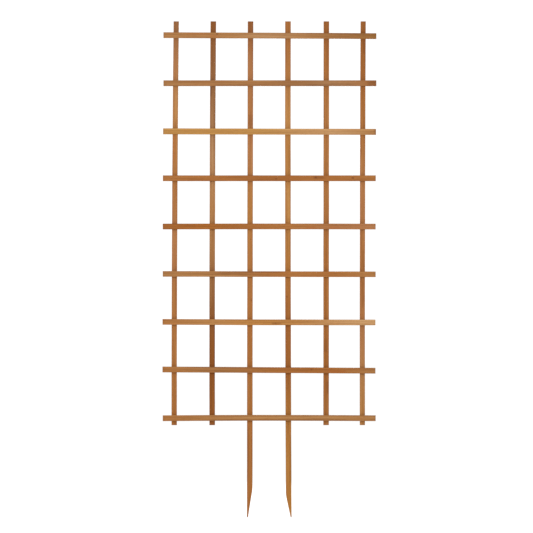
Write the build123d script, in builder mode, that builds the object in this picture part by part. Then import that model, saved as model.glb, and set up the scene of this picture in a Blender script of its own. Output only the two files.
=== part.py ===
"""Flat wooden garden trellis, in millimetres, +Z up.

Nine level rails are lapped over the front (-Y) faces of six uprights, and every crossing is stapled
from behind. The two middle uprights run on below the grid as stakes, each sawn to a point on its
inner edge. The origin is midway across the rails, on the lap plane, level with the stake tips.
"""

import os
from collections import namedtuple
from math import atan2, degrees

from build123d import *

os.makedirs("parts", exist_ok=True)

# Driving dimensions
overall_height = 2132.0  # stake tips to the tops of the uprights
rail_length = 915.0
slat_thickness = 12.5
slat_arris = 0.8  # chamfer along the long edges
upright_pitch = 162.5
rail_pitch = 205.5
top_overhang = 61.5  # uprights stand this far above the top rail's centre
foot_overhang = 31.0  # and the four short ones this far below the bottom rail's centre
stake_tip_flat = 4.5

# 18 gauge narrow-crown staples, driven flush from behind at a slant to both grains
staple_crown = 6.5
staple_length = 22.0
staple_point = 2.0
staple_wire_depth = 1.0
staple_wire_breadth = 1.25
staple_slant = 45.0

# The slats are sawn and laid up by hand, so each one sits a little off the even grid. top and foot
# move an upright's two ends sideways. A stake's saw cut is point long, and where it begins, its edge
# turns with the radius ease.
Upright = namedtuple("Upright", "name width top foot point ease")
UPRIGHTS = [
    Upright("upright_1", 23.0, 5.5, -3.5, 0, 0),
    Upright("upright_2", 24.0, 2.5, -2.5, 0, 0),
    Upright("left_stake_upright", 24.0, 0, -3.5, 120, 150),
    Upright("right_stake_upright", 24.5, -1.5, 2.0, 94, 150),
    Upright("upright_5", 24.0, 1.0, 0, 0, 0),
    Upright("upright_6", 22.5, -3.0, -6.5, 0, 0),
]

# shift moves a rail sideways, lift moves it up, and rise is how much higher its right end is.
Rail = namedtuple("Rail", "name width shift lift rise")
RAILS = [
    Rail("rail_1_top", 25.0, 2.0, -0.5, -4.0),
    Rail("rail_2", 25.0, 2.0, 0.5, 0),
    Rail("rail_3", 26.0, 0.5, -2.0, -2.5),
    Rail("rail_4", 25.0, -0.5, 3.0, 0),
    Rail("rail_5", 25.0, -1.0, 1.0, 0),
    Rail("rail_6", 24.5, -1.0, 2.0, -2.0),
    Rail("rail_7", 25.0, -2.0, 1.0, -2.5),
    Rail("rail_8", 25.0, -2.0, 0.5, -5.5),
    Rail("rail_9_bottom", 25.0, -1.0, -1.0, 0),
]

top_rail_height = overall_height - top_overhang
bottom_rail_height = top_rail_height - (len(RAILS) - 1) * rail_pitch
grid_foot = bottom_rail_height - foot_overhang


def foot_height(upright):
    """Where an upright ends: at the stake tips, or just below the bottom rail."""
    return 0.0 if upright.point else grid_foot


def upright_x(index, height):
    """The centre of an upright at a height."""
    upright = UPRIGHTS[index]
    even = (index - (len(UPRIGHTS) - 1) / 2) * upright_pitch
    foot = foot_height(upright)
    share = (height - foot) / (overall_height - foot)
    return even + upright.foot + (upright.top - upright.foot) * share


def rail_height(index):
    """The height of a rail at the middle of its length."""
    return top_rail_height - index * rail_pitch + RAILS[index].lift


def crossing(upright_index, rail_index):
    """Where a rail's centre line crosses an upright's, as x and z."""
    rail = RAILS[rail_index]
    x = upright_x(upright_index, rail_height(rail_index))
    z = rail_height(rail_index) + rail.rise * (x - rail.shift) / rail_length
    return x, z


def staples_at(crossings):
    """One staple through each crossing, its crown flush with the upright's back."""
    with BuildPart() as staples:
        with Locations(*(Location((x, slat_thickness, z), (0, staple_slant, 0)) for x, z in crossings)):
            add(staple.part)
    return staples.part


with BuildPart() as staple:
    leg_inside = staple_crown / 2 - staple_wire_depth
    with BuildSketch(Plane.XY):
        with BuildLine():
            Polyline(
                (-staple_crown / 2, 0),
                (staple_crown / 2, 0),
                (staple_crown / 2, -staple_length),
                (leg_inside, staple_point - staple_length),
                (leg_inside, -staple_wire_depth),
                (-leg_inside, -staple_wire_depth),
                (-leg_inside, staple_point - staple_length),
                (-staple_crown / 2, -staple_length),
                close=True,
            )
        make_face()
    extrude(amount=staple_wire_breadth / 2, both=True)


for index, upright in enumerate(UPRIGHTS):
    foot = foot_height(upright)
    top_x = upright_x(index, overall_height)
    foot_x = upright_x(index, foot)
    cut_x = upright_x(index, upright.point)
    # The inner edge of a stake is the one nearer the middle of the trellis.
    inward = -1 if foot_x > 0 else 1
    half = inward * upright.width / 2
    cut_start = (cut_x + half, upright.point)
    if upright.point:
        foot_corners = [(foot_x - half + inward * stake_tip_flat, foot), cut_start]
    else:
        foot_corners = [(foot_x + half, foot)]
    with BuildPart() as upright_slat:
        with BuildSketch(Plane.XZ) as outline:
            with BuildLine():
                Polyline(
                    (top_x - half, overall_height),
                    (foot_x - half, foot),
                    *foot_corners,
                    (top_x + half, overall_height),
                    close=True,
                )
            make_face()
            if upright.ease:
                fillet(outline.vertices().sort_by_distance(cut_start)[0], radius=upright.ease)
        extrude(amount=-slat_thickness)
        chamfer(upright_slat.edges().sort_by(SortBy.LENGTH)[-4:], slat_arris)
        add(staples_at(crossing(index, rail) for rail in range(len(RAILS))), mode=Mode.SUBTRACT)
    upright_slat.part.label = upright.name
    export_step(upright_slat.part, f"parts/{upright.name}.step")


for index, rail in enumerate(RAILS):
    staples = staples_at(crossing(upright, index) for upright in range(len(UPRIGHTS)))
    with BuildPart() as rail_slat:
        with BuildSketch(Plane.XZ):
            with Locations((rail.shift, rail_height(index))):
                Rectangle(rail_length, rail.width, rotation=degrees(atan2(rail.rise, rail_length)))
        extrude(amount=slat_thickness)
        chamfer(rail_slat.edges().sort_by(SortBy.LENGTH)[-4:], slat_arris)
        add(staples, mode=Mode.SUBTRACT)
    rail_slat.part.label = rail.name
    export_step(rail_slat.part, f"parts/{rail.name}.step")

    staples.label = f"{rail.name}_staples"
    export_step(staples, f"parts/{rail.name}_staples.step")
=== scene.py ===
"""The looks of the flat garden trellis, in metres, +Z up, its front towards -Y.

Each slat is rebuilt round its CAD outline as a planed cedar slat, with worn arrises, sawn ends, drying
checks, chips and the pockets of its staples. Each rail's six staples are rebuilt as bent zinc wire.
"""

import math
from collections import namedtuple

import bmesh
import bpy
import numpy as np
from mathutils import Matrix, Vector, noise


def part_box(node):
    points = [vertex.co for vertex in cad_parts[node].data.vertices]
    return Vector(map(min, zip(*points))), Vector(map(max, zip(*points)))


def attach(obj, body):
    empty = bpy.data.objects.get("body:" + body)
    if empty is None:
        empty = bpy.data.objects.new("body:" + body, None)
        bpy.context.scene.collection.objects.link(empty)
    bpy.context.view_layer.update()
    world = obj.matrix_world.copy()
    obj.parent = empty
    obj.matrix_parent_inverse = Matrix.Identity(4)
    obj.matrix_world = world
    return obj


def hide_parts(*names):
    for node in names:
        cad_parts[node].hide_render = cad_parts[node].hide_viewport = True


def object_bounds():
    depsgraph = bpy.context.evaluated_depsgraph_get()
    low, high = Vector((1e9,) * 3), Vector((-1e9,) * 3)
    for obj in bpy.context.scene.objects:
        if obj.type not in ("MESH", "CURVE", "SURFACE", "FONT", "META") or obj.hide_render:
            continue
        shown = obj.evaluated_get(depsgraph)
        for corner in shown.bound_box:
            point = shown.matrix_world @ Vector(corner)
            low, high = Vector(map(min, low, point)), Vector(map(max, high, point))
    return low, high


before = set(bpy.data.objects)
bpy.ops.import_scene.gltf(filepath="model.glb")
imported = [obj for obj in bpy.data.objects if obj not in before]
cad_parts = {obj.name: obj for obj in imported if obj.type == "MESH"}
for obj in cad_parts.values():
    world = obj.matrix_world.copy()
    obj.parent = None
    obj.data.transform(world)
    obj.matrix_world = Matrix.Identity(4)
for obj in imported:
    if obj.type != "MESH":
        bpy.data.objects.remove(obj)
cad_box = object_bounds()

MM = 0.001
X, Y, Z = range(3)

# Camera and studio
VIEW_WIDTH = 2.292  # what the picture spans at the trellis
VIEW_CENTRE = (-0.0126, 1.0777)  # the middle of the picture, as x and z
LENS = 300.0  # in millimetres, as is the sensor
SENSOR = 36.0
SOFTBOXES = {"front_softbox": (-0.25, -2.6, 1.95), "back_softbox": (0.25, 2.6, 1.95)}
SOFTBOX_SIZE = 0.8
SOFTBOX_POWER = 30.0
WORLD_STRENGTH = 1.08
FLOOR_RADIUS = 30.0
FLOOR_WHITE = 0.95

# Slat mesh
ARRIS = 1.0 * MM  # mean radius of the worn arrises
ARRIS_WEAR = 0.4 * MM  # how far that radius wanders
ARC_STEPS = 3
FACE_POINTS = 7  # between the arrises of a wide face
EDGE_POINTS = 3  # and of a narrow one
STEP = 10 * MM  # along the slat, away from any detail
FINE_STEP = 2 * MM
LEAST_STEP = 0.1 * MM
END_EASE = 0.35 * MM  # how far the sawn ends' edges are worn back
END_SECTIONS = (0.35, 1, 3)  # how far from a sawn end its sections stand, as multiples of END_EASE
EDGE_WANDER = 0.3 * MM
EDGE_WAVELENGTH = 160 * MM
ARRIS_WAVELENGTH = 30 * MM
PLANER_WAVES = 0.12 * MM
PLANER_WAVE_SIZE = (28 * MM, 11 * MM, 9 * MM)  # along, across and through the slat
PLANER_SINK = 0.6  # how far below the CAD face the waves' middle lies, as a share of their height
KNOT_PROUD = 0.25 * MM
KNOT_SWELL = 1.5  # how much longer than wide the raised wood over a knot is
KNOT_REACH = 4  # how far round a knot its slat has finer sections, in radii
SAWN_ROUGHNESS = 0.3 * MM
SAW_BITE = 1.7 * MM  # how large the torn spots of a sawn end are
CAP_RINGS = 3
CHECK_DEPTH = 0.55  # of the slat's thickness
CHECK_CROOK = (0.1, 0.35)  # in millimetres, from and to, like the next two
CHIP_LENGTH = (3, 9)
CHIP_DEPTH = (0.7, 1.3)
CHIP_OFFSET = 0.25  # how far outside its arris a chip's centre is, as a share of its depth
UPRIGHT_CHIPS = 6
RAIL_CHIPS = 4
SLAT_SHARP = math.radians(32)  # edges that turn by more than this are shaded sharp

# Staples, as in the CAD
CROWN = 6.5 * MM
LEG = 22.0 * MM
LEG_POINT = 2.0 * MM
WIRE_DEPTH = 1.0 * MM
WIRE_BREADTH = 1.25 * MM
WIRE_BEND = 0.9 * MM
BEND_STEPS = 4
WIRE_SIDES = 10
WIRE_CORNER = 0.35  # the lower, the squarer the wire's section is
TIP_THIN = 0.25  # how thick a leg's tip is, as a share of the wire's depth
TIP_OFFSET = 0.35  # how far to one side the tip lies, as the same share
CROWN_SUNK = 0.3 * MM  # below the face it is driven into
POCKET_ROOM = 0.2 * MM
POCKET_REACH = 8 * MM  # how far round a staple its slats have finer sections
STAPLE_SHARP = math.radians(40)

# The colours of oiled cedar, as they look in even white light, in 8 bit sRGB
TONES = {
    "umber": (137, 83, 43),
    "dusk": (144, 99, 63),
    "olive": (148, 103, 56),
    "russet": (154, 97, 52),
    "fawn": (163, 115, 72),
    "copper": (164, 106, 58),
    "sienna": (167, 104, 48),
    "amber": (169, 113, 65),
    "rose": (171, 117, 77),
    "honey": (172, 123, 76),
    "ochre": (174, 120, 64),
    "tan": (174, 131, 92),
    "gold": (181, 129, 76),
    "straw": (186, 138, 78),
    "pale": (194, 149, 102),
}
EXPOSURE = 1.30  # how much brighter the studio makes a face than even white light does
GLOSS = 0.02  # what the oil adds by reflecting the white studio
# What a streak or a grain line does to the colour round it, as a multiplier of each channel
STAINS = {
    "light": (1.12, 1.22, 1.36),
    "dark": (0.74, 0.68, 0.62),
    "red": (1.00, 0.84, 0.72),
}
# The same for a knot, and for the end grain, the oil-soaked ends and the painted shade along the arrises
KNOT_HEART = (0.74, 0.63, 0.55)
KNOT_RINGS = (0.48, 0.38, 0.32)
END_GRAIN_AND_ARRIS_SHADE = (0.62, 0.55, 0.50)
# How strongly each mark shows on the base colour, from 0 to 1
STREAK_SHOWS = 0.75
CLOUD_SHOWS = 0.5
PLACED_STREAK_SHOWS = 0.9
LATE_WOOD_SHOWS = 0.62
DASH_SHOWS = 0.45
END_GRAIN_SHOWS = 0.9
SOAKED_SHOWS = 0.35
# The arrises' darkening is painted shade along the rounded edges
ARRIS_SHADE_SHOWS = 0.25

# Cedar's patterns. long and wide are their size in millimetres, shift keeps each one's noise apart from
# the others', and detail is how many finer layers it has.
Pattern = namedtuple("Pattern", "long wide shift detail")
STREAKS = Pattern(260, 7, 0.0, 2.0)
CLOUDS = Pattern(45, 9, 31.0, 2.0)
FIBRES = Pattern(16, 0.5, 57.0, 3.0)
DASHES = Pattern(7, 0.45, 83.0, 1.0)
RING_WOBBLE = 9.0  # how far the growth rings wander, in millimetres
RING_WOBBLE_LONG = 170  # over what length
RING_WOBBLE_WIDE = 60  # and what width
RAGGED = 6.0  # how far a placed streak's edges wander, in millimetres
KNOT_STRETCH = 1.7  # how much longer than wide a knot is
KNOT_RING = 0.34  # of the knot's radius

# Gloss and relief
ROUGHNESS = 0.46
FIBRE_ROUGHNESS = 0.22  # what a fibre adds to it
END_ROUGHNESS = 0.2  # and what end grain adds
SPECULAR = 0.15
RELIEF = 0.4 * MM
RELIEF_STRENGTH = 0.6
# How high each mark stands, as a share of RELIEF
FIBRE_HEIGHT = 0.4
RING_HEIGHT = 0.2
RIPPLE_HEIGHT = 0.05
DASH_DEPTH = 0.12
PLANER_STEP = 3.4  # from one planer ripple to the next, in millimetres

ZINC_DULL = (0.40, 0.41, 0.42)
ZINC_BRIGHT = (0.66, 0.67, 0.68)
SPANGLE = 900  # zinc crystals in a metre

# along, start and stop are measured from a slat's top or left end, and across from its centre line,
# up on a rail and to the right on an upright. A check's end is 0 for the top or left end and 1 for the
# other. A look's tones run from the same end at even steps. bow is how far the slat's middle stands
# across, slope how far the grain drifts across for each millimetre along, pith where the tree's heart lay,
# as across and beyond the lap face, and spacing that of the growth rings. Lengths are in millimetres.
Knot = namedtuple("Knot", "along across radius")
Streak = namedtuple("Streak", "start stop across width stain")
Check = namedtuple("Check", "end across length width")
Look = namedtuple("Look", "tones bow slope pith spacing knots streaks checks")

LOOKS = {
    "upright_1": Look(
        "dusk rose gold amber amber rose amber amber amber copper",
        bow=-2.25, slope=0.006, pith=(30, 60), spacing=2.2,
        knots=[],
        streaks=[Streak(290, 440, 3, 7, "light"), Streak(470, 620, -5, 9, "red")],
        checks=[Check(0, 3, 32, 0.5)],
    ),
    "upright_2": Look(
        "umber dusk dusk tan honey fawn dusk umber umber russet",
        bow=-2.0, slope=-0.004, pith=(-18, 45), spacing=1.6,
        knots=[],
        streaks=[
            Streak(270, 660, 0, 5, "light"),
            Streak(265, 330, -8, 7, "dark"),
            Streak(330, 700, 9, 5, "dark"),
            Streak(1095, 1240, -6, 9, "light"),
        ],
        checks=[Check(0, -5, 24, 0.4), Check(1, 2, 40, 0.6)],
    ),
    "left_stake_upright": Look(
        "umber rose amber rose ochre amber amber copper amber copper amber copper",
        bow=-0.5, slope=0.005, pith=(55, 30), spacing=2.6,
        knots=[Knot(937, 2, 1.8), Knot(1200, 5, 2.2)],
        streaks=[Streak(395, 455, 1, 18, "dark"), Streak(1720, 2010, -9, 6, "dark")],
        checks=[Check(0, -2, 46, 0.5)],
    ),
    "right_stake_upright": Look(
        "copper amber gold ochre gold ochre copper russet russet ochre ochre ochre",
        bow=-1.7, slope=-0.003, pith=(-40, 70), spacing=2.0,
        knots=[Knot(1184, -5, 2.6)],
        streaks=[Streak(690, 870, 3, 6, "light"), Streak(1760, 2000, 9, 6, "dark")],
        checks=[Check(0, 6, 28, 0.4)],
    ),
    "upright_5": Look(
        "russet copper amber amber amber copper copper copper russet amber",
        bow=0, slope=0.004, pith=(20, 90), spacing=2.4,
        knots=[],
        streaks=[
            Streak(80, 900, 9, 4, "light"),
            Streak(1360, 1430, -2, 12, "dark"),
            Streak(1540, 1610, 6, 8, "dark"),
        ],
        checks=[Check(1, -4, 30, 0.5)],
    ),
    "upright_6": Look(
        "russet russet copper amber rose amber amber rose honey gold",
        bow=-1.25, slope=-0.006, pith=(-60, 40), spacing=2.8,
        knots=[],
        streaks=[
            Streak(78, 145, 4, 8, "dark"),
            Streak(560, 760, -5, 5, "light"),
            Streak(970, 1080, 3, 6, "dark"),
            Streak(1100, 1240, 2, 7, "dark"),
        ],
        checks=[Check(0, 1, 36, 0.6)],
    ),
    "rail_1_top": Look(
        "honey honey honey tan honey fawn olive",
        bow=0.3, slope=0.004, pith=(14, 50), spacing=1.8,
        knots=[Knot(231, 6, 2.8)],
        streaks=[
            Streak(90, 200, 6, 8, "red"),
            Streak(190, 245, -3, 12, "red"),
            Streak(560, 900, 9, 6, "dark"),
        ],
        checks=[Check(1, -3, 26, 0.4)],
    ),
    "rail_2": Look(
        "fawn fawn fawn fawn dusk tan russet",
        bow=0, slope=-0.005, pith=(-30, 35), spacing=2.6,
        knots=[],
        streaks=[
            Streak(280, 500, 9, 5, "light"),
            Streak(200, 400, -8, 6, "dark"),
            Streak(590, 850, -8, 7, "dark"),
            Streak(868, 960, 0, 30, "dark"),
        ],
        checks=[Check(1, 4, 44, 0.6), Check(0, -6, 22, 0.4)],
    ),
    "rail_3": Look(
        "straw straw straw straw pale pale honey",
        bow=0, slope=0.002, pith=(4, 38), spacing=3.0,
        knots=[],
        streaks=[Streak(690, 880, -4, 9, "light"), Streak(900, 960, 0, 30, "dark")],
        checks=[Check(1, 2, 30, 0.5)],
    ),
    "rail_4": Look(
        "amber copper copper russet copper copper amber",
        bow=0, slope=0.007, pith=(50, 24), spacing=1.9,
        knots=[Knot(486, -3, 3.0), Knot(657, 3, 2.6), Knot(816, 1, 3.4)],
        streaks=[Streak(640, 700, 3, 9, "dark")],
        checks=[Check(0, 4, 34, 0.5)],
    ),
    "rail_5": Look(
        "russet sienna russet copper amber rose rose",
        bow=0.5, slope=-0.003, pith=(-22, 80), spacing=2.1,
        knots=[],
        streaks=[Streak(610, 665, -5, 8, "red"), Streak(710, 765, -4, 11, "red")],
        checks=[Check(0, -3, 28, 0.4)],
    ),
    "rail_6": Look(
        "fawn honey fawn copper amber copper honey",
        bow=0, slope=0.005, pith=(35, 55), spacing=2.3,
        knots=[],
        streaks=[
            Streak(60, 430, -1, 4, "dark"),
            Streak(235, 300, 3, 9, "dark"),
            Streak(260, 545, 9, 6, "dark"),
            Streak(60, 880, -9, 4, "light"),
        ],
        checks=[Check(1, 5, 38, 0.5)],
    ),
    "rail_7": Look(
        "amber honey gold ochre gold pale pale",
        bow=-0.6, slope=-0.006, pith=(-12, 42), spacing=2.7,
        knots=[Knot(486, -4, 1.8)],
        streaks=[Streak(465, 515, -4, 7, "dark")],
        checks=[Check(0, 5, 30, 0.4)],
    ),
    "rail_8": Look(
        "amber fawn fawn copper copper copper fawn",
        bow=0, slope=0.008, pith=(26, 28), spacing=1.7,
        knots=[Knot(640, 4, 1.7)],
        streaks=[Streak(60, 520, 9, 5, "dark"), Streak(700, 800, -4, 9, "red")],
        checks=[Check(0, 0, 42, 0.6)],
    ),
    "rail_9_bottom": Look(
        "amber honey fawn honey fawn honey fawn",
        bow=1.8, slope=-0.002, pith=(0, 46), spacing=2.4,
        knots=[],
        streaks=[Streak(200, 880, 1, 6, "light"), Streak(40, 900, -9, 6, "dark")],
        checks=[Check(1, -5, 28, 0.4)],
    ),
}

UPRIGHTS = [name for name in LOOKS if "upright" in name]
RAILS = [name for name in LOOKS if "rail" in name]


def linear(colour):
    """8 bit sRGB as linear light."""
    parts = [value / 255 for value in colour]
    return [p / 12.92 if p <= 0.04045 else ((p + 0.055) / 1.055) ** 2.4 for p in parts]


def albedo(colour):
    """The base colour that looks like an 8 bit sRGB colour once the studio lights it."""
    return [max(value - GLOSS, 0.003) / EXPOSURE for value in linear(colour)]


def new_object(name, mesh):
    """An object in the scene that holds the mesh, with no place of its own."""
    piece = bpy.data.objects.new(name, mesh)
    bpy.context.scene.collection.objects.link(piece)
    return piece


def mesh_of(name, points, faces):
    mesh = bpy.data.meshes.new(name)
    mesh.from_pydata([tuple(p) for p in points], [], faces)
    mesh.validate()
    return mesh


# Reading the frame


class Slat:
    """Where a slat lies, read from its CAD node: the run of its length, its outline and its faces."""

    def __init__(self, name):
        self.name = name
        self.look = LOOKS[name]
        self.along, self.across = (X, Z) if name in RAILS else (Z, X)
        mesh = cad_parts[name].data
        self.points = np.array([v.co for v in mesh.vertices])
        self.edges = np.array([e.vertices for e in mesh.edges])
        low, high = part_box(name)
        self.low, self.high = low[self.along], high[self.along]
        self.length = self.high - self.low
        # Rails stand in front of the lap plane, y = 0, and uprights behind it.
        self.outward = -1 if name in RAILS else 1
        self.thickness = high[Y] - low[Y]
        # The centre line leans evenly, so two places on it give its lean and its foot.
        ends = [self.outline([self.low + self.length * share]) for share in (0.25, 0.75)]
        middles = [float(lows[0] + highs[0]) / 2 for lows, highs in ends]
        self.lean = (middles[1] - middles[0]) / (self.length / 2)
        self.foot_middle = middles[0] - self.lean * self.length / 4
        self.width = float(ends[0][1][0] - ends[0][0][0])

    def outline(self, stations):
        """The lowest and highest edge across the slat at each station along it."""
        a = self.points[self.edges[:, 0]]
        b = self.points[self.edges[:, 1]]
        lows, highs = [], []
        for station in np.clip(stations, self.low + MM, self.high - MM):
            rise = b[:, self.along] - a[:, self.along]
            crosses = (a[:, self.along] - station) * (b[:, self.along] - station) < 0
            share = (station - a[crosses, self.along]) / rise[crosses]
            values = a[crosses, self.across] + share * (b[crosses, self.across] - a[crosses, self.across])
            lows.append(values.min())
            highs.append(values.max())
        return np.array(lows), np.array(highs)

    def from_start(self, distance):
        """The station at a distance from the top or left end."""
        return self.low + distance if self.along == X else self.high - distance

    def bow(self, station):
        """How far across the bow takes the slat at a station."""
        share = (station - self.low) / self.length
        return 4 * self.look.bow * MM * share * (1 - share)

    def middle(self, station):
        """The centre line across at a station, with the bow."""
        return self.foot_middle + self.lean * (station - self.low) + self.bow(station)


def staple_places(rail):
    """Each of a rail's staples as the centre of its crown's back and the direction of its crown."""
    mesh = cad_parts[rail + "_staples"].data
    back = max(v.co.y for v in mesh.vertices)
    crowns = sorted((v.co for v in mesh.vertices if v.co.y > back - 0.1 * MM), key=lambda co: co.x)
    groups = [[crowns[0]]]
    for co in crowns[1:]:
        if co.x - groups[-1][-1].x > CROWN:
            groups.append([])
        groups[-1].append(co)
    places = []
    for group in groups:
        centre = sum(group, Vector()) / len(group)
        ends = sorted(group, key=lambda co: co.x)
        places.append((centre, (ends[-1] - ends[0]).normalized()))
    return places


STAPLES = {rail: staple_places(rail) for rail in RAILS}


# Slats


def stations_of(slat, fine_places):
    """Where a slat's sections stand: even steps, with finer ones round each place of detail."""
    stations = list(np.arange(slat.low, slat.high, STEP)) + [slat.high]
    for place, reach in fine_places:
        stations += list(np.arange(place - reach, place + reach, FINE_STEP))
    for end, inward in ((slat.low, 1), (slat.high, -1)):
        stations += [end + inward * place * END_EASE for place in END_SECTIONS]
    stations = np.array(sorted(s for s in stations if slat.low <= s <= slat.high))
    wide_enough = np.diff(stations, prepend=slat.low - 1) > LEAST_STEP
    return stations[wide_enough]


def wander(stations, seed, reach, wavelength):
    """A smooth random offset along a slat."""
    return np.array([reach * noise.noise(Vector((s / wavelength, seed, 0.5))) for s in stations])


def section_points(lows, highs, near, far, radii):
    """A rounded rectangle at every station, as across and depth, and the outward direction there."""
    corners = [(lows, near, 1, 1), (highs, near, -1, 1), (highs, far, -1, -1), (lows, far, 1, -1)]
    between = (FACE_POINTS, EDGE_POINTS)
    arcs = []
    for k, (across, depth, inward, upward) in enumerate(corners):
        r = radii[:, k]
        angles = np.radians(180 + 90 * k + 90 * np.arange(ARC_STEPS + 1) / ARC_STEPS)
        turn = np.stack([np.cos(angles), np.sin(angles)], axis=1)
        centre = np.stack([across + inward * r, depth + upward * r], axis=1)
        arc = centre[:, None] + r[:, None, None] * turn[None]
        arcs.append((arc, np.broadcast_to(turn, arc.shape)))
    points, normals = [], []
    for k in range(4):
        arc, turn = arcs[k]
        points.append(arc)
        normals.append(turn)
        count = between[k % 2]
        share = ((np.arange(count) + 1) / (count + 1))[None, :, None]
        start, stop = arc[:, -1:], arcs[(k + 1) % 4][0][:, :1]
        points.append(start + (stop - start) * share)
        normals.append(np.repeat(turn[:, -1:], count, axis=1))
    return np.concatenate(points, axis=1), np.concatenate(normals, axis=1)


def slat_mesh(slat, seed, fine_places):
    """A closed slat with worn arrises, planer waves, knots that stand proud and rough sawn ends."""
    stations = stations_of(slat, fine_places)
    lows, highs = slat.outline(stations)
    bow = slat.bow(stations)
    lows = lows + bow + wander(stations, seed + 0.1, EDGE_WANDER, EDGE_WAVELENGTH)
    highs = highs + bow + wander(stations, seed + 0.2, EDGE_WANDER, EDGE_WAVELENGTH)
    to_end = np.minimum(stations - slat.low, slat.high - stations)
    ease = END_EASE * np.clip(1 - to_end / END_EASE, 0, 1) ** 2
    worn = [wander(stations, seed + 1.3 * k, ARRIS_WEAR, ARRIS_WAVELENGTH) for k in range(4)]
    radii = ARRIS + np.stack(worn, axis=1)
    radii = np.minimum(radii, 0.3 * (highs - lows - 2 * ease)[:, None])
    points, normals = section_points(lows + ease, highs - ease, ease, slat.thickness - ease, radii)

    count, around = points.shape[:2]
    proud = np.zeros((count, around))
    for i in range(count):
        for j in range(around):
            across, depth = points[i, j]
            at = [value / size for value, size in zip((stations[i], across, depth), PLANER_WAVE_SIZE)]
            at[2] += seed
            proud[i, j] = PLANER_WAVES * (noise.noise(Vector(at)) - PLANER_SINK)
    for knot in slat.look.knots:
        off_along = (stations - slat.from_start(knot.along * MM))[:, None] / (KNOT_SWELL * knot.radius * MM)
        knot_middle = slat.middle(slat.from_start(knot.along * MM)) + knot.across * MM
        off_across = (points[:, :, 0] - knot_middle) / (knot.radius * MM)
        proud += KNOT_PROUD * np.exp(-(off_along**2) - off_across**2)
    # The lap face stays flat on the lap plane.
    lap = np.clip(-normals[:, :, 1], 0, 1)
    points = points + normals * (proud * (1 - lap))[:, :, None]

    verts = np.zeros((count, around, 3))
    verts[:, :, slat.along] = stations[:, None]
    verts[:, :, slat.across] = points[:, :, 0]
    verts[:, :, Y] = slat.outward * points[:, :, 1]
    faces = []
    for i in range(count - 1):
        for j in range(around):
            k = (j + 1) % around
            faces.append((i * around + j, i * around + k, (i + 1) * around + k, (i + 1) * around + j))
    verts = list(verts.reshape(-1, 3))
    for row, inward in ((0, 1), (count - 1, -1)):
        ring = [row * around + j for j in range(around)]
        middle = np.mean([verts[v] for v in ring], axis=0)
        for step in range(1, CAP_RINGS + 1):
            inner = []
            for v in range(around):
                point = middle + (verts[row * around + v] - middle) * (1 - step / (CAP_RINGS + 1))
                bite = noise.noise(Vector(point / SAW_BITE) + Vector((0, 0, seed)))
                point[slat.along] += inward * SAWN_ROUGHNESS * (0.5 + 0.5 * bite)
                inner.append(len(verts))
                verts.append(point)
            for j in range(around):
                k = (j + 1) % around
                faces.append((ring[j], ring[k], inner[k], inner[j]))
            ring = inner
        middle[slat.along] += inward * SAWN_ROUGHNESS / 2
        verts.append(middle)
        faces += [(ring[j], ring[(j + 1) % around], len(verts) - 1) for j in range(around)]
    mesh = mesh_of(slat.name + "_slat", verts, faces)
    outward_faces(mesh)
    return mesh


def outward_faces(mesh):
    """Turns every face of a closed mesh outwards."""
    work = bmesh.new()
    work.from_mesh(mesh)
    bmesh.ops.recalc_face_normals(work, faces=work.faces)
    work.to_mesh(mesh)
    work.free()


def prism(outline, direction, reach):
    """A closed prism: an outline of points, moved by reach along direction."""
    count = len(outline)
    verts = [Vector(p) for p in outline] + [Vector(p) + Vector(direction) * reach for p in outline]
    faces = [tuple(range(count)), tuple(range(2 * count - 1, count - 1, -1))]
    faces += [(i, i + count, (i + 1) % count + count, (i + 1) % count) for i in range(count)]
    return verts, faces


def staple_pocket(centre, along_crown):
    """What a staple takes out of both slats: a groove for its crown and two holes for its legs."""
    half = CROWN / 2 + POCKET_ROOM
    inside = CROWN / 2 - WIRE_DEPTH - POCKET_ROOM
    breadth = WIRE_BREADTH + 2 * POCKET_ROOM
    above = 3 * MM
    floor = -CROWN_SUNK - WIRE_DEPTH - POCKET_ROOM
    tip = -CROWN_SUNK - LEG - POCKET_ROOM
    profile = [
        (-half, above), (half, above), (half, tip), (inside, tip),
        (inside, floor), (-inside, floor), (-inside, tip), (-half, tip),
    ]
    sideways = along_crown.cross(Vector((0, 1, 0))).normalized()
    start = centre - sideways * breadth / 2
    outline = [start + along_crown * u + Vector((0, v, 0)) for u, v in profile]
    return prism(outline, sideways, breadth)


def check_wedge(slat, check, crook):
    """A drying check: a thin crooked wedge that runs in from an end, through about half the thickness."""
    from_low = (check.end == 0) == (slat.along == X)
    end = slat.low if from_low else slat.high
    inward = 1 if from_low else -1
    half = check.width * MM / 2
    path = [
        (-1.0, 0, half),
        (0.35 * check.length, crook, 0.7 * half),
        (0.7 * check.length, -crook, 0.5 * half),
        (check.length, crook, 0),
    ]
    middle = slat.middle(end) + check.across * MM
    sides = []
    for side in (1, -1):
        for distance, shift, wide in path if side > 0 else path[-2::-1]:
            point = [0.0, 0.0, 0.0]
            point[slat.along] = end + inward * distance * MM
            point[slat.across] = middle + shift + side * wide
            point[Y] = slat.outward * (slat.thickness + MM)
            sides.append(point)
    return prism(sides, (0, -slat.outward, 0), slat.thickness * CHECK_DEPTH + MM)


def chip(slat, station, high_side, length, depth):
    """A long shallow scoop out of one of the outer arrises."""
    scoop = bmesh.new()
    bmesh.ops.create_icosphere(scoop, subdivisions=3, radius=1)
    size = [depth, depth, depth]
    size[slat.along] = length
    lows, highs = slat.outline([station])
    offset = CHIP_OFFSET * depth
    place = [0.0, slat.outward * (slat.thickness + offset), 0.0]
    place[slat.along] = station
    place[slat.across] = slat.bow(station) + (highs[0] + offset if high_side else lows[0] - offset)
    verts = [Vector([v.co[i] * size[i] + place[i] for i in range(3)]) for v in scoop.verts]
    faces = [tuple(v.index for v in f.verts) for f in scoop.faces]
    scoop.free()
    return verts, faces


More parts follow.
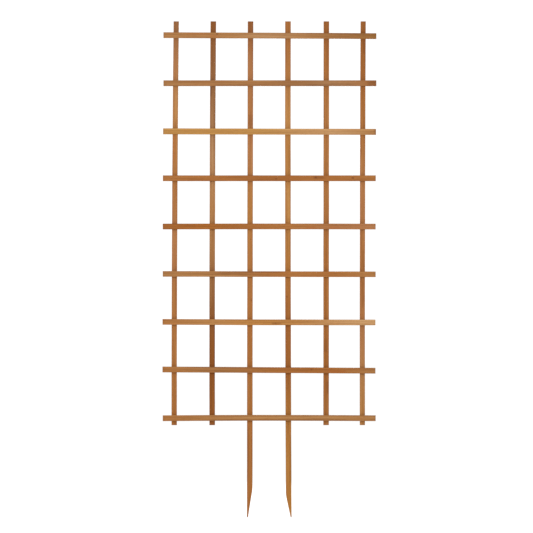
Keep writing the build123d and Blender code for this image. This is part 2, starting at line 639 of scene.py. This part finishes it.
def joined(name, shapes):
    """One mesh of several closed shapes that stand clear of each other."""
    verts, faces = [], []
    for shape_verts, shape_faces in shapes:
        faces += [tuple(i + len(verts) for i in f) for f in shape_faces]
        verts += shape_verts
    mesh = mesh_of(name, verts, faces)
    outward_faces(mesh)
    return mesh


def cut(piece, shapes):
    """Takes closed shapes out of a piece and keeps the result as its mesh."""
    cutter = new_object(piece.name + "_cutter", joined(piece.name + "_cutter", shapes))
    boolean = piece.modifiers.new("cut", "BOOLEAN")
    boolean.operation = "DIFFERENCE"
    boolean.solver = "MANIFOLD"
    boolean.object = cutter
    graph = bpy.context.evaluated_depsgraph_get()
    result = bpy.data.meshes.new_from_object(piece.evaluated_get(graph), depsgraph=graph)
    piece.modifiers.clear()
    piece.data = result
    bpy.data.objects.remove(cutter)


def make_slat(name, seed):
    """A slat's finished piece, riding in the frame in place of its CAD node."""
    slat = Slat(name)
    rng = np.random.default_rng(int(seed))
    rails = [name] if name in RAILS else RAILS
    half = slat.width / 2
    pockets = []
    for rail in rails:
        for centre, along_crown in STAPLES[rail]:
            if abs(centre[slat.across] - slat.middle(centre[slat.along])) < half:
                pockets.append((centre, along_crown))
    fine_places = [(centre[slat.along], POCKET_REACH) for centre, _ in pockets]
    for knot in slat.look.knots:
        fine_places.append((slat.from_start(knot.along * MM), KNOT_REACH * knot.radius * MM))
    shapes = [staple_pocket(*pocket) for pocket in pockets]
    for check in slat.look.checks:
        shapes.append(check_wedge(slat, check, rng.uniform(*CHECK_CROOK) * MM))
    chips = UPRIGHT_CHIPS if name in UPRIGHTS else RAIL_CHIPS
    for k in range(chips):
        # Each chip lies somewhere in its own share of the middle four fifths of the slat.
        station = slat.low + slat.length * (0.1 + 0.8 * (k + rng.uniform(0.15, 0.85)) / chips)
        length = rng.uniform(*CHIP_LENGTH) * MM
        high_side = rng.uniform() < 0.5
        depth = rng.uniform(*CHIP_DEPTH) * MM
        shapes.append(chip(slat, station, high_side, length, depth))
        fine_places.append((station, length))
    piece = new_object(name + "_slat", slat_mesh(slat, seed, fine_places))
    cut(piece, shapes)
    piece.data.shade_smooth()
    piece.data.set_sharp_from_angle(angle=SLAT_SHARP)
    piece.data.materials.clear()
    piece.data.materials.append(cedar(slat, seed))
    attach(piece, "root")
    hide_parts(name)


# Staples


def staple_path():
    """The middle of a staple's wire from point to point, as along the crown and in from its back."""
    half = (CROWN - WIRE_DEPTH) / 2
    back = -WIRE_DEPTH / 2
    radius = WIRE_BEND
    path = [(-half, -LEG), (-half, -LEG + LEG_POINT)]
    for side, start in ((-1, 180), (1, 90)):
        centre = (side * (half - radius), back - radius)
        for step in range(BEND_STEPS + 1):
            angle = math.radians(start - 90 * step / BEND_STEPS)
            path.append((centre[0] + radius * math.cos(angle), centre[1] + radius * math.sin(angle)))
    return path + [(half, -LEG + LEG_POINT), (half, -LEG)]


def bent_staple(centre, along_crown, sunk):
    """One staple: flat wire with rounded edges along the bent path, its legs cut to points."""
    path = [np.array(p) for p in staple_path()]
    sideways = along_crown.cross(Vector((0, 1, 0))).normalized()
    verts, faces = [], []
    for k, point in enumerate(path):
        ahead = path[min(k + 1, len(path) - 1)] - path[max(k - 1, 0)]
        across_wire = np.array([-ahead[1], ahead[0]]) / np.linalg.norm(ahead)
        # Both legs are cut on the same slant, so their tips lie to the same side of the wire.
        tip = {0: -1, len(path) - 1: 1}.get(k, 0)
        thin = TIP_THIN if tip else 1.0
        slide = across_wire * WIRE_DEPTH * TIP_OFFSET * tip
        for angle in np.radians(np.arange(0, 360, 360 // WIRE_SIDES)):
            c, s = math.cos(angle), math.sin(angle)
            u = math.copysign(abs(c) ** WIRE_CORNER, c) * WIRE_DEPTH / 2 * thin
            w = math.copysign(abs(s) ** WIRE_CORNER, s) * WIRE_BREADTH / 2
            flat = point - slide + across_wire * u
            place = centre + along_crown * flat[0] + sideways * w
            verts.append(place + Vector((0, flat[1] - sunk, 0)))
    around = len(verts) // len(path)
    for k in range(len(path) - 1):
        for j in range(around):
            n = (j + 1) % around
            faces.append((k * around + j, k * around + n, (k + 1) * around + n, (k + 1) * around + j))
    faces.append(tuple(range(around)))
    faces.append(tuple(range(len(verts) - around, len(verts))))
    return verts, faces


def make_staples(rail, seed):
    """A rail's six staples as one piece, each driven to its own depth."""
    rng = np.random.default_rng(int(seed))
    shapes = []
    for centre, along_crown in STAPLES[rail]:
        shapes.append(bent_staple(centre, along_crown, CROWN_SUNK * rng.uniform(0.3, 1.0)))
    name = rail + "_wire_staples"
    piece = new_object(name, joined(name, shapes))
    piece.data.shade_smooth()
    piece.data.set_sharp_from_angle(angle=STAPLE_SHARP)
    piece.data.materials.append(zinc())
    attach(piece, "root")
    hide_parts(rail + "_staples")


# Materials


class Nodes:
    """Short calls for building a material's nodes."""

    def __init__(self, name):
        self.material = bpy.data.materials.new(name)
        self.material.use_nodes = True
        self.tree = self.material.node_tree
        self.tree.nodes.clear()
        self.shader = self.tree.nodes.new("ShaderNodeBsdfPrincipled")
        output = self.tree.nodes.new("ShaderNodeOutputMaterial")
        self.tree.links.new(self.shader.outputs["BSDF"], output.inputs["Surface"])

    def put(self, socket, value):
        if isinstance(value, bpy.types.NodeSocket):
            self.tree.links.new(value, socket)
        else:
            socket.default_value = value

    def math(self, operation, a, b=0.0, c=0.0, clamp=False):
        node = self.tree.nodes.new("ShaderNodeMath")
        node.operation = operation
        node.use_clamp = clamp
        for socket, value in zip(node.inputs, (a, b, c)):
            self.put(socket, value)
        return node.outputs[0]

    def smooth(self, value, low, high, to_low=0.0, to_high=1.0):
        """Eases from to_low to to_high as value goes from low to high."""
        node = self.tree.nodes.new("ShaderNodeMapRange")
        node.interpolation_type = "SMOOTHSTEP"
        for socket, given in zip(node.inputs, (value, low, high, to_low, to_high)):
            self.put(socket, given)
        return node.outputs[0]

    def length(self, a, b):
        """How long a vector is whose two parts are a and b."""
        squares = self.math("MULTIPLY_ADD", b, b, self.math("MULTIPLY", a, a))
        return self.math("SQRT", squares)

    def vector(self, x, y, z):
        node = self.tree.nodes.new("ShaderNodeCombineXYZ")
        for socket, value in zip(node.inputs, (x, y, z)):
            self.put(socket, value)
        return node.outputs[0]

    def noise(self, vector, detail=2.0, roughness=0.5):
        node = self.tree.nodes.new("ShaderNodeTexNoise")
        self.put(node.inputs["Vector"], vector)
        node.inputs["Scale"].default_value = 1.0
        node.inputs["Detail"].default_value = detail
        node.inputs["Roughness"].default_value = roughness
        return node.outputs["Fac"]

    def mix(self, factor, a, b, blend="MIX"):
        node = self.tree.nodes.new("ShaderNodeMix")
        node.data_type = "RGBA"
        node.blend_type = blend
        self.put(node.inputs["Factor"], factor)
        self.put(node.inputs["A"], a)
        self.put(node.inputs["B"], b)
        return node.outputs["Result"]

    def ramp(self, factor, stops):
        """Colours at even places from 0 to 1."""
        node = self.tree.nodes.new("ShaderNodeValToRGB")
        node.color_ramp.interpolation = "B_SPLINE"
        elements = node.color_ramp.elements
        while len(elements) < len(stops):
            elements.new(0.5)
        for k, colour in enumerate(stops):
            elements[k].position = k / (len(stops) - 1)
            elements[k].color = (*colour, 1)
        self.put(node.inputs["Fac"], factor)
        return node.outputs["Color"]


def cedar(slat, seed):
    """Oiled cedar: a tone that drifts along the slat, growth rings round an off-slat pith, fibres,
    streaks, knots, darker end grain, and painted shade along the arrises."""
    look = slat.look
    nodes = Nodes(slat.name + "_cedar")
    coordinates = nodes.tree.nodes.new("ShaderNodeTexCoord")
    split = nodes.tree.nodes.new("ShaderNodeSeparateXYZ")
    nodes.put(split.inputs[0], coordinates.outputs["Object"])
    geometry = nodes.tree.nodes.new("ShaderNodeNewGeometry")
    facing = nodes.tree.nodes.new("ShaderNodeSeparateXYZ")
    nodes.put(facing.inputs[0], geometry.outputs["Normal"])

    # The slat's own coordinates, in millimetres, from its top or left end and its centre line
    station = split.outputs[slat.along]
    share = nodes.math("DIVIDE", nodes.math("SUBTRACT", station, slat.low), slat.length)
    both_shares = nodes.math("MULTIPLY", share, nodes.math("SUBTRACT", 1.0, share))
    bow = nodes.math("MULTIPLY", both_shares, 4 * look.bow)
    straight = nodes.math("MULTIPLY_ADD", share, slat.lean * slat.length, slat.foot_middle)
    from_straight = nodes.math("SUBTRACT", split.outputs[slat.across], straight)
    across = nodes.math("SUBTRACT", nodes.math("DIVIDE", from_straight, MM), bow)
    depth = nodes.math("DIVIDE", split.outputs[Y], slat.outward * MM)
    if slat.along == Z:
        share = nodes.math("SUBTRACT", 1.0, share)
    along = nodes.math("MULTIPLY", share, slat.length / MM)

    # Knots push the rings aside
    bulge = heart = circles = 0.0
    for knot in look.knots:
        long_radius = KNOT_STRETCH * knot.radius
        off_along = nodes.math("DIVIDE", nodes.math("SUBTRACT", along, knot.along), long_radius)
        off_across = nodes.math("DIVIDE", nodes.math("SUBTRACT", across, knot.across), knot.radius)
        reach = nodes.length(off_along, off_across)
        side = nodes.math("MULTIPLY", off_across, nodes.smooth(reach, 0.6, 4.0, knot.radius, 0.0))
        bulge = nodes.math("ADD", bulge, side)
        heart = nodes.math("MAXIMUM", heart, nodes.smooth(reach, 1.1, 0.9))
        circle = nodes.smooth(nodes.math("PINGPONG", reach, KNOT_RING), 0.2, KNOT_RING)
        circle = nodes.math("MULTIPLY", circle, nodes.smooth(reach, 1.12, 1.0))
        circles = nodes.math("MAXIMUM", circles, circle)

    # Growth rings
    drift = nodes.math("MULTIPLY_ADD", along, look.slope, nodes.math("SUBTRACT", across, bulge))
    wobble_long = nodes.math("DIVIDE", along, RING_WOBBLE_LONG)
    wobble_wide = nodes.math("DIVIDE", across, RING_WOBBLE_WIDE)
    wobble = nodes.noise(nodes.vector(wobble_long, seed, wobble_wide), 1.0)
    off_pith = nodes.math("SUBTRACT", drift, look.pith[0])
    off_pith = nodes.math("ADD", off_pith, nodes.math("MULTIPLY", wobble, RING_WOBBLE))
    from_pith = nodes.length(nodes.math("ADD", depth, look.pith[1]), off_pith)
    rings = nodes.math("FRACT", nodes.math("DIVIDE", from_pith, look.spacing))
    late = nodes.math("MULTIPLY", nodes.smooth(rings, 0.45, 0.94), nodes.smooth(rings, 1.0, 0.96))

    # Streaks a few millimetres wide and hundreds long, clouds, fibres and short dark dashes
    def stretched(pattern):
        vector = nodes.vector(
            nodes.math("DIVIDE", along, pattern.long),
            nodes.math("DIVIDE", drift, pattern.wide),
            nodes.math("ADD", nodes.math("DIVIDE", depth, pattern.wide), seed + pattern.shift),
        )
        return nodes.noise(vector, pattern.detail)

    streak = stretched(STREAKS)
    cloud = stretched(CLOUDS)
    fibre = stretched(FIBRES)
    dash = nodes.smooth(stretched(DASHES), 0.66, 0.74)

    # Colours
    base = nodes.ramp(share, [albedo(TONES[name]) for name in look.tones.split()])
    stained = {name: nodes.mix(1.0, base, (*stain, 1), "MULTIPLY") for name, stain in STAINS.items()}
    colour = nodes.mix(nodes.smooth(streak, 0.52, 0.68, 0.0, STREAK_SHOWS), base, stained["light"])
    colour = nodes.mix(nodes.smooth(streak, 0.48, 0.32, 0.0, STREAK_SHOWS), colour, stained["dark"])
    colour = nodes.mix(nodes.smooth(cloud, 0.45, 0.25, 0.0, CLOUD_SHOWS), colour, stained["red"])
    for mark in look.streaks:
        reach = (mark.stop - mark.start) / 2
        middle = mark.start + reach
        # Its edges are ragged, and it leans with the grain.
        line = nodes.math("SUBTRACT", drift, mark.across + look.slope * middle + RAGGED / 2)
        off_line = nodes.math("ABSOLUTE", nodes.math("MULTIPLY_ADD", cloud, RAGGED, line))
        off_middle = nodes.math("ABSOLUTE", nodes.math("SUBTRACT", along, middle))
        within = nodes.smooth(off_middle, reach, reach * 0.55, 0.0, PLACED_STREAK_SHOWS)
        within = nodes.math("MULTIPLY", within, nodes.smooth(off_line, mark.width * 0.85, mark.width * 0.25))
        colour = nodes.mix(within, colour, stained[mark.stain])
    colour = nodes.mix(nodes.math("MULTIPLY", late, LATE_WOOD_SHOWS), colour, stained["dark"])
    shade = nodes.smooth(fibre, 0.3, 0.7, 0.86, 1.15)
    colour = nodes.mix(1.0, colour, nodes.vector(shade, shade, shade), "MULTIPLY")
    colour = nodes.mix(nodes.math("MULTIPLY", dash, DASH_SHOWS), colour, stained["dark"])
    colour = nodes.mix(heart, colour, nodes.mix(1.0, colour, (*KNOT_HEART, 1), "MULTIPLY"))
    colour = nodes.mix(circles, colour, nodes.mix(1.0, colour, (*KNOT_RINGS, 1), "MULTIPLY"))

    # End grain, the ends that soaked up more oil, and painted shade along the arrises
    end_grain = nodes.smooth(nodes.math("ABSOLUTE", facing.outputs[slat.along]), 0.1, 0.7)
    to_end = nodes.math("MINIMUM", along, nodes.math("SUBTRACT", slat.length / MM, along))
    soaked = nodes.smooth(nodes.math("MULTIPLY_ADD", cloud, 10.0, to_end), 16.0, 3.0, 0.0, SOAKED_SHOWS)
    to_edge = nodes.math("SUBTRACT", slat.width / 2 / MM, nodes.math("ABSOLUTE", across))
    to_face = nodes.math("MINIMUM", depth, nodes.math("SUBTRACT", slat.thickness / MM, depth))
    painted_arris_shade = nodes.smooth(nodes.math("MAXIMUM", to_edge, to_face), 1.8, 0.3, 0.0, ARRIS_SHADE_SHOWS)
    darker = nodes.math("MAXIMUM", nodes.math("MULTIPLY", end_grain, END_GRAIN_SHOWS), soaked)
    darker = nodes.math("MAXIMUM", darker, painted_arris_shade)
    colour = nodes.mix(darker, colour, nodes.mix(1.0, colour, (*END_GRAIN_AND_ARRIS_SHADE, 1), "MULTIPLY"))
    nodes.put(nodes.shader.inputs["Base Color"], colour)

    roughness = nodes.math("MULTIPLY_ADD", fibre, FIBRE_ROUGHNESS, ROUGHNESS)
    roughness = nodes.math("MULTIPLY_ADD", end_grain, END_ROUGHNESS, roughness)
    nodes.put(nodes.shader.inputs["Roughness"], roughness)
    nodes.shader.inputs["Specular IOR Level"].default_value = SPECULAR

    # Planer ripples cross the slat, and the fibres and hard rings stand up
    phase = nodes.math("MULTIPLY_ADD", along, 2 * math.pi / PLANER_STEP, nodes.math("MULTIPLY", cloud, 5.0))
    ripple = nodes.math("SINE", phase)
    ridge = nodes.math("MULTIPLY", nodes.smooth(rings, 0.3, 0.8), nodes.smooth(rings, 1.0, 0.8))
    height = nodes.math("MULTIPLY_ADD", fibre, FIBRE_HEIGHT, nodes.math("MULTIPLY", ridge, RING_HEIGHT))
    height = nodes.math("MULTIPLY_ADD", ripple, RIPPLE_HEIGHT, height)
    height = nodes.math("SUBTRACT", height, nodes.math("MULTIPLY", dash, DASH_DEPTH))
    bump = nodes.tree.nodes.new("ShaderNodeBump")
    bump.inputs["Strength"].default_value = RELIEF_STRENGTH
    bump.inputs["Distance"].default_value = RELIEF
    nodes.put(bump.inputs["Height"], height)
    nodes.put(nodes.shader.inputs["Normal"], bump.outputs["Normal"])
    return nodes.material


def zinc():
    """Dull galvanised wire, with spangle in its colour and roughness. All the staples share it."""
    if "galvanised_wire" in bpy.data.materials:
        return bpy.data.materials["galvanised_wire"]
    nodes = Nodes("galvanised_wire")
    coordinates = nodes.tree.nodes.new("ShaderNodeTexCoord")
    scaled = nodes.tree.nodes.new("ShaderNodeVectorMath")
    scaled.operation = "SCALE"
    scaled.inputs["Scale"].default_value = SPANGLE
    nodes.put(scaled.inputs[0], coordinates.outputs["Object"])
    spangle = nodes.noise(scaled.outputs[0], 3.0, 0.6)
    colour = nodes.mix(nodes.smooth(spangle, 0.35, 0.65), (*ZINC_DULL, 1), (*ZINC_BRIGHT, 1))
    nodes.put(nodes.shader.inputs["Base Color"], colour)
    nodes.put(nodes.shader.inputs["Roughness"], nodes.smooth(spangle, 0.3, 0.7, 0.32, 0.55))
    nodes.shader.inputs["Metallic"].default_value = 1.0
    return nodes.material


# Studio


def make_camera():
    """A long lens straight in front of the trellis."""
    camera = bpy.data.objects.new("camera", bpy.data.cameras.new("camera"))
    camera.data.lens = LENS
    camera.data.sensor_width = SENSOR
    camera.data.clip_end = 200
    distance = VIEW_WIDTH * LENS / SENSOR
    camera.location = (VIEW_CENTRE[0], -distance, VIEW_CENTRE[1])
    camera.rotation_euler = (math.radians(90), 0, 0)
    bpy.context.scene.collection.objects.link(camera)
    bpy.context.scene.camera = camera


def make_light():
    """White surroundings, and a softbox in front and behind that put a shadow under each crossing."""
    world = bpy.data.worlds.new("white_studio")
    world.use_nodes = True
    background = world.node_tree.nodes["Background"]
    background.inputs["Color"].default_value = (1, 1, 1, 1)
    background.inputs["Strength"].default_value = WORLD_STRENGTH
    bpy.context.scene.world = world
    low, high = (Vector(corner) for corner in cad_box)
    for name, place in SOFTBOXES.items():
        softbox = bpy.data.objects.new(name, bpy.data.lights.new(name, "AREA"))
        softbox.data.size = SOFTBOX_SIZE
        softbox.data.energy = SOFTBOX_POWER
        softbox.location = place
        softbox.rotation_euler = ((low + high) / 2 - Vector(place)).to_track_quat("-Z", "Y").to_euler()
        softbox.visible_camera = False
        bpy.context.scene.collection.objects.link(softbox)


def make_floor():
    """A pale floor level with the stake tips."""
    disc = bmesh.new()
    bmesh.ops.create_circle(disc, cap_ends=True, segments=96, radius=FLOOR_RADIUS)
    mesh = bpy.data.meshes.new("floor")
    disc.to_mesh(mesh)
    disc.free()
    floor = new_object("floor", mesh)
    floor.location.z = cad_box[0][2] - 0.5 * MM
    nodes = Nodes("pale_floor")
    nodes.shader.inputs["Base Color"].default_value = (FLOOR_WHITE, FLOOR_WHITE, FLOOR_WHITE, 1)
    nodes.shader.inputs["Roughness"].default_value = 1.0
    nodes.shader.inputs["Specular IOR Level"].default_value = 0.0
    mesh.materials.append(nodes.material)


make_camera()
make_light()
make_floor()
# Each slat has its own seed, which sets its noise and its chips.
for number, slat_name in enumerate(LOOKS):
    make_slat(slat_name, 7 * number + 3)
for number, rail_name in enumerate(RAILS):
    make_staples(rail_name, number)

view = bpy.context.scene.view_settings
view.view_transform = "Standard"
